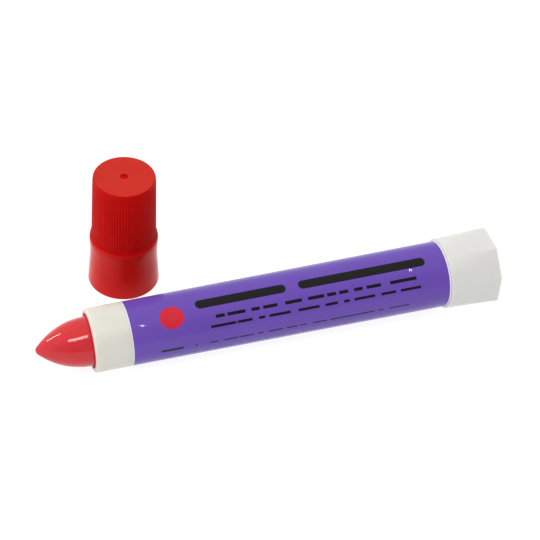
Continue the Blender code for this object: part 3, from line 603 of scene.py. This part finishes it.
def make_label(film):
    """The film: a thin sleeve on the land, whose outer face follows the barrel's taper.

    Its two ends overlap for 2 mm at the back. There the outer radius is larger by one step, which is
    short at the upper end and a slow slope at the lower end.
    """
    front, rear = LABEL_FRONT, LABEL_REAR
    middle = (front + rear) / 2
    outline = rounded([
        (middle, barrel_radius(middle) - LABEL_THICKNESS, 0),
        (front, barrel_radius(front) - LABEL_THICKNESS, LABEL_EDGE),
        (front, barrel_radius(front) - LAP_STEP, LABEL_EDGE),
        (rear, barrel_radius(rear) - LAP_STEP, LABEL_EDGE),
        (rear, barrel_radius(rear) - LABEL_THICKNESS, LABEL_EDGE),
    ], steps=3)
    along, radius = outline.T
    angle = np.sort(np.concatenate([turn(LABEL_COLUMNS), LAP_EDGE]))
    lap = smooth_step(angle, *LAP_EDGE) * (1 - smooth_step(angle, *LAP_SLOPE))
    outer = radius > barrel_radius(along) - 2 * LAP_STEP
    grid = radius[:, None] + outer[:, None] * lap * LAP_STEP
    shell("label_sleeve", along, grid, angle, film, "barrel", "barrel_label", ring=True)


def make_point(paint):
    """The paint stick: a round tip, an ogive flank, the straight stick and its bored rear.

    The flank is an arc that meets the stick without a corner, and the tip is a small arc that
    touches it. The cast surface is uneven by some hundredths of a millimetre, as a sum of slow sines
    of the angle and the place along the axis.
    """
    tip = POINT_TIP_RADIUS
    reach = POINT_LENGTH - tip
    flank = (reach ** 2 + STICK_RADIUS ** 2 - tip ** 2) / (2 * (STICK_RADIUS - tip))
    centre = STICK_RADIUS - flank
    meet = math.atan2(-centre, -reach)
    nose = np.linspace(math.pi, meet, 12)[1:]
    side = np.linspace(meet, math.pi / 2, 48)[1:]
    front = np.concatenate([
        np.stack([-reach + tip * np.cos(nose), tip * np.sin(nose)], -1),
        np.stack([flank * np.cos(side), centre + flank * np.sin(side)], -1),
    ])
    rear = rounded([
        (STICK_SHOULDER, STICK_RADIUS, 0),
        (STICK_SHOULDER, STICK_TENON_RADIUS, 0),
        (STICK_END, STICK_TENON_RADIUS, 0),
        (STICK_END, STICK_BORE_RADIUS, 0),
        (STICK_BORE_FRONT, STICK_BORE_RADIUS, 0),
    ])
    along, radius = np.concatenate([front, rear]).T
    angle = turn(STICK_COLUMNS)
    place = along[:, None] / MM
    uneven = (np.sin(2 * angle + place / 2.3) + 0.7 * np.sin(3 * angle - place / 1.7 + 1)
              + 0.4 * np.sin(7 * angle + place / 0.9))
    grid = radius[:, None] + uneven * POINT_UNEVENNESS * (along < 0)[:, None]
    shell("paint_point", along, np.maximum(grid, 0), angle, paint, "feed", "paint_stick")


def octagon(angle, inset):
    """The radius of a round-cornered octagon with flats up and down.

    On a flat it is the apothem over the cosine of the angle from the flat's middle. Near a corner it
    is the far point of the corner's own circle.
    """
    apothem = KNOB_APOTHEM - inset
    corner = KNOB_CORNER_RADIUS - inset
    half = math.pi / 8
    middle = (apothem - corner) / math.cos(half)
    off_flat = (angle + half) % (2 * half) - half
    off_corner = half - np.abs(off_flat)
    reach = np.maximum(corner ** 2 - (middle * np.sin(off_corner)) ** 2, 0)
    round_part = middle * np.cos(off_corner) + np.sqrt(reach)
    touch = np.arctan2(middle * math.sin(half), apothem)
    return np.where(np.abs(off_flat) > touch, round_part, apothem / np.cos(off_flat))


def make_knob(white):
    """The knob: a round front a step above the barrel, an octagon at its end, hollow inside.

    A ring's radius is the circle's plus its share of the difference to the octagon's. The share
    grows evenly along the knob. The edges at the front and the end are quarter circles.
    """
    angle = turn(KNOB_COLUMNS)
    front, end = KNOB_FRONT + KNOB_FRONT_EDGE, KNOB_END - KNOB_END_EDGE
    lean = np.linspace(0, math.pi / 2, 6)[:, None]
    front_radius = KNOB_FRONT_RADIUS - KNOB_FRONT_EDGE * (1 - np.sin(lean)) + 0 * angle
    share = np.linspace(0, 1, 40)[1:, None]
    side_radius = KNOB_FRONT_RADIUS + (octagon(angle, 0) - KNOB_FRONT_RADIUS) * share
    close = np.linspace(0, math.pi / 2, 7)[1:, None]
    end_radius = octagon(angle, KNOB_END_EDGE * (1 - np.cos(close)))
    inner = np.array([
        (SOCKET_END, 0.5 * MM),
        (SOCKET_END, SOCKET_RADIUS),
        (BOSS_FRONT, SOCKET_RADIUS),
        (BOSS_FRONT, BOSS_RADIUS),
        (CAVITY_END, BOSS_RADIUS),
        (CAVITY_END, CAVITY_RADIUS),
        (CAVITY_FRONT, CAVITY_RADIUS),
        (CAVITY_FRONT, SPIGOT_BORE_RADIUS),
        (SPIGOT_FRONT, SPIGOT_BORE_RADIUS),
        (SPIGOT_FRONT, SPIGOT_RADIUS),
        (SPIGOT_REAR, SPIGOT_RADIUS),
    ])
    along = np.concatenate([
        inner[:, 0],
        (front - KNOB_FRONT_EDGE * np.cos(lean))[:, 0],
        (front + (end - front) * share)[:, 0],
        (end + KNOB_END_EDGE * np.sin(close))[:, 0],
    ])
    inner_radius = inner[:, 1:] + 0 * angle
    radius = np.concatenate([inner_radius, front_radius, side_radius, end_radius])
    shell("knob_body", along, radius, angle, white, "knob", "twist_knob")


def make_cap(skirt, grip, crown_finish_and_warm_light, ring_finish_and_highlight):
    """The cap: from the middle of its top down the outside, round the rim and up the inside.

    The ribs' radius falls from the crest by the rib's depth times 1 - |sin| of half the rib count
    times the angle, so crests are round and valleys narrow. They start in a small ledge on the
    shoulder's slope, and fade out below the top's edge. The skirt and the grip each have their own
    finish, and so do the flat top and the plain ring under the ribs. The top's warmer red is
    painted warm light from above, and the ring's brighter red is a painted highlight.
    """
    angle = turn(RIB_COUNT * COLUMNS_PER_RIB)
    top = CAP_HEIGHT
    gate = rounded([
        (top - PIP_DEPTH, 0.05 * MM, 0),
        (top - PIP_DEPTH, PIP_RADIUS, 0.08 * MM),
        (top - GATE_DEPTH, PIP_FOOT_RADIUS, 0.05 * MM),
        (top - GATE_DEPTH, GATE_RADIUS, 0.06 * MM),
        (top, GATE_RIM_RADIUS, 0.05 * MM),
        (top, 2 * MM, 0),
    ], steps=4)
    crown = rounded([
        (top, 4 * MM, 0),
        (top, CAP_TOP_RADIUS - CAP_TOP_INSET, CAP_TOP_EDGE),
        (top - 0.62 * MM, CAP_TOP_RADIUS - CAP_TOP_INSET, 0),
    ], steps=8)
    ribs_foot, ribs_in = CAP_SKIRT_HEIGHT + 1.15 * MM, CAP_SKIRT_HEIGHT + 1.4 * MM
    ribs_out, ribs_head = top - 1.15 * MM, top - 0.68 * MM
    shoulder = CAP_GRIP_HEIGHT - 0.5 * MM
    heights = np.concatenate([
        np.linspace(ribs_head, ribs_out, 6), np.linspace(top - 6 * MM, CAP_GRIP_HEIGHT + 4 * MM, 3),
        np.linspace(CAP_GRIP_HEIGHT, shoulder, 5)[:-1], np.linspace(shoulder, ribs_in, 5),
        np.linspace(ribs_in, ribs_foot, 5)[1:],
    ])
    share = (heights - CAP_GRIP_HEIGHT) / (top - CAP_GRIP_HEIGHT)
    crest = CAP_GRIP_RADIUS + (CAP_TOP_RADIUS - CAP_GRIP_RADIUS) * share
    shoulder_foot, shoulder_radius = CAP_SKIRT_HEIGHT + 0.3 * MM, CAP_SKIRT_RADIUS + 0.02 * MM
    slope = (shoulder_radius - CAP_GRIP_RADIUS) / (shoulder - shoulder_foot)
    crest += np.maximum(shoulder - heights, 0) * slope
    foot = rounded([
        (ribs_foot, CAP_GRIP_RADIUS + (shoulder - ribs_foot) * slope + RIB_LEDGE, 0.05 * MM),
        (shoulder_foot, shoulder_radius, 1.2 * MM),
        (CAP_SKIRT_HEIGHT - 0.8 * MM, CAP_SKIRT_RADIUS, 12 * MM),
        (CAP_WAIST_TOP, CAP_WAIST_RADIUS, 20 * MM),
        (CAP_WAIST_BASE, CAP_WAIST_RADIUS, 30 * MM),
        (0, CAP_RIM_RADIUS, 0.2 * MM),
        (0, CAP_BORE_RADIUS + CAP_LEAD_IN, 0.06 * MM),
        (CAP_LEAD_IN, CAP_BORE_RADIUS, 0.1 * MM),
        (CAP_SEAT, CAP_BORE_RADIUS, 0.1 * MM),
        (CAP_SEAT, CAP_POCKET_BASE_RADIUS, 0.1 * MM),
        (CAP_GRIP_HEIGHT, CAP_POCKET_TOP_RADIUS, 0.5 * MM),
        (CAP_CEILING, CAP_POCKET_TOP_RADIUS, 0.5 * MM),
        (CAP_CEILING, 0.5 * MM, 0),
    ], steps=5)
    along = np.concatenate([gate[:, 0], crown[:, 0], heights, foot[:, 0]])
    radius = np.concatenate([gate[:, 1], crown[:, 1], crest, foot[:, 1]])
    fading = smooth_step(along, ribs_out, ribs_head)
    full = smooth_step(along, ribs_foot, ribs_in) * (1 - fading)
    ribbed = np.zeros(len(along))
    first = len(gate) + len(crown)
    ribbed[first:first + len(heights)] = 1
    valley = 1 - np.abs(np.sin(angle * RIB_COUNT / 2))
    level = CAP_TOP_INSET * fading * ribbed
    grid = (radius - level)[:, None] - (full * ribbed)[:, None] * valley * RIB_DEPTH
    cap = shell("cap_shell", along, grid, angle, skirt, "cap", "cap", standing=True)

    # Finish 0 is on the skirt, 1 on the grip, 2 on the top, whose warmer red is painted warm light
    # from above, and 3 on the plain ring, whose brighter red is a painted highlight
    cap.data.materials.append(grip)
    cap.data.materials.append(crown_finish_and_warm_light)
    cap.data.materials.append(ring_finish_and_highlight)
    middles = np.zeros(len(cap.data.polygons) * 3)
    cap.data.polygons.foreach_get("center", middles)
    height = middles[2::3]
    on_ring = (height > CAP_SKIRT_HEIGHT + 0.25 * MM) & (height <= ribs_foot)
    on_top = height > top - 0.03 * MM
    finish = (height > ribs_foot) + 3 * on_ring + on_top
    cap.data.polygons.foreach_set("material_index", finish.astype(np.int32))


def dress(node, material):
    """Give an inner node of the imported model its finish."""
    for slot in frame["nodes"][node].material_slots:
        slot.material = material


def make_floor(paper):
    """A flat sheet of paper under everything."""
    half = 1.6
    mesh = bpy.data.meshes.new("paper_floor")
    corners = [(-half, -half, 0), (half, -half, 0), (half, half, 0), (-half, half, 0)]
    mesh.from_pydata(corners, [], [(0, 1, 2, 3)])
    mesh.materials.append(paper)
    floor = bpy.data.objects.new("paper_floor", mesh)
    bpy.context.scene.collection.objects.link(floor)


def make_light(name, start, end, aim, width, watts):
    """A rectangle of light, of a given width, that runs from start to end and faces its aim."""
    start, end = Vector(start), Vector(end)
    light = bpy.data.lights.new(name, "AREA")
    light.shape = "RECTANGLE"
    light.size, light.size_y = (end - start).length, width
    light.energy = watts
    lamp = bpy.data.objects.new(name, light)
    lamp.location = (start + end) / 2
    way = (end - start).normalized()
    back = lamp.location - Vector(aim)
    back = (back - way * back.dot(way)).normalized()
    lamp.rotation_euler = Matrix((way, back.cross(way), back)).transposed().to_euler()
    bpy.context.scene.collection.objects.link(lamp)


def make_camera():
    """The camera looks at a point on the table, from the fitted angle and distance, and is rolled."""
    lens = bpy.data.cameras.new("camera")
    lens.lens = CAMERA_LENS
    lens.sensor_width = CAMERA_SENSOR
    lens.clip_start, lens.clip_end = 0.01, 20
    camera = bpy.data.objects.new("camera", lens)
    aim = Vector((MOUTH.x + AIM_ALONG, MOUTH.y + AIM_ASIDE, 0))
    level = math.cos(CAMERA_ELEVATION)
    away = Vector((math.sin(CAMERA_AZIMUTH) * level, -math.cos(CAMERA_AZIMUTH) * level,
                   math.sin(CAMERA_ELEVATION)))
    camera.location = aim + away * CAMERA_DISTANCE
    facing = (-away).to_track_quat("-Z", "Y").to_matrix()
    camera.rotation_euler = (facing @ Matrix.Rotation(CAMERA_ROLL, 3, "Z")).to_euler()
    bpy.context.scene.collection.objects.link(camera)
    bpy.context.scene.camera = camera


def make_tent():
    """The world: a white tent, a little brighter at the left and darker at its open front.

    Each zone is a direction, what it adds to the tent's glow, and the cosines at its rim and core.
    """
    world = bpy.data.worlds.new("light_tent")
    world.use_nodes = True
    tree = world.node_tree
    way = add(tree, "ShaderNodeTexCoord").outputs["Generated"]
    zones = [
        ((-0.87, 0.1, 0.48), 0.12, 0.2, 1.0),
        ((0.0, -0.86, 0.5), -0.45, 0.45, 0.9),
    ]
    glow = 0.89
    for direction, extra, rim, core in zones:
        facing = add(tree, "ShaderNodeVectorMath", {0: way, 1: direction}, operation="DOT_PRODUCT")
        glow = work(tree, "ADD", spread(tree, facing.outputs["Value"], 0, extra, rim, core), glow)
    back = tree.nodes["Background"]
    back.inputs["Color"].default_value = linear("#FFFEFA")
    tree.links.new(glow, back.inputs["Strength"])
    bpy.context.scene.world = world


def make_studio():
    """A light tent over the table, with two thin tubes and two wide strips in it.

    The label mirrors the tubes as small round glints, and the paint point mirrors the strips.
    """
    make_tent()
    tube_width = 1.4 * MM
    front, rear, point = (-0.033, -0.02, 0.015), (0.038, -0.019, 0.018), (-0.055, -0.015, 0.012)
    make_light("left_tube", (0.0968, -0.3469, 0.8138), (0.0972, -0.4449, 0.7638),
               front, tube_width, 0.05)
    make_light("right_tube", (0.2843, -0.1376, 0.7711), (0.2846, -0.2351, 0.749),
               rear, tube_width, 0.04)
    make_light("near_strip", (-0.41, -0.279, 0.64), (-0.0338, -0.311, 0.704),
               point, 150 * MM, 2.4)
    make_light("far_strip", (-0.577, 0.4195, 0.3455), (-0.418, 0.394, 0.541),
               point, 80 * MM, 1.3)
    bpy.context.scene.view_settings.view_transform = "Standard"


def main():
    """Build the studio and the pieces, and dress the inner nodes."""
    make_camera()
    make_studio()
    make_floor(studio_paper())
    make_barrel(white_polypropylene("satin_white_barrel", "#D1D0C9", "#CDCCC4", 0.6))
    make_label(label_film())
    make_point(solid_paint())
    make_knob(white_polypropylene("satin_white_knob", "#CFCFCE", "#CCCCCA"))
    # The top's warmer red is painted warm light from above, and the ring's brighter red is a painted
    # highlight
    make_cap(red_polypropylene("polished_red_skirt", "#BC0B07", "#B60906", 0.13, 0.12),
             red_polypropylene("ground_red_grip", "#B40805", "#AE0704", 0.04, 0.45),
             red_polypropylene("ground_red_top_painted_warm_light", "#BB1E0C", "#B61A0A", 0.2, 0.42),
             red_polypropylene("ground_red_ring_painted_highlight", "#C01410", "#BA110D", 0.07, 0.42))
    natural = moulded_inner("natural_acetal", "#E9E7DF", "#E2DFD5", 0.35, 5 * MM)
    for node in ("screw_bearing", "stick_carrier", "drive_screw", "ratchet_ring"):
        dress(node, natural)
    dress("screw_seal", moulded_inner("matt_nitrile_rubber", "#1C1C1E", "#232326", 0.6, 2 * MM))
    dress("cap_liner", moulded_inner("soft_polyethylene", "#E6E2DA", "#DFDACF", 0.5, 4 * MM))


main()
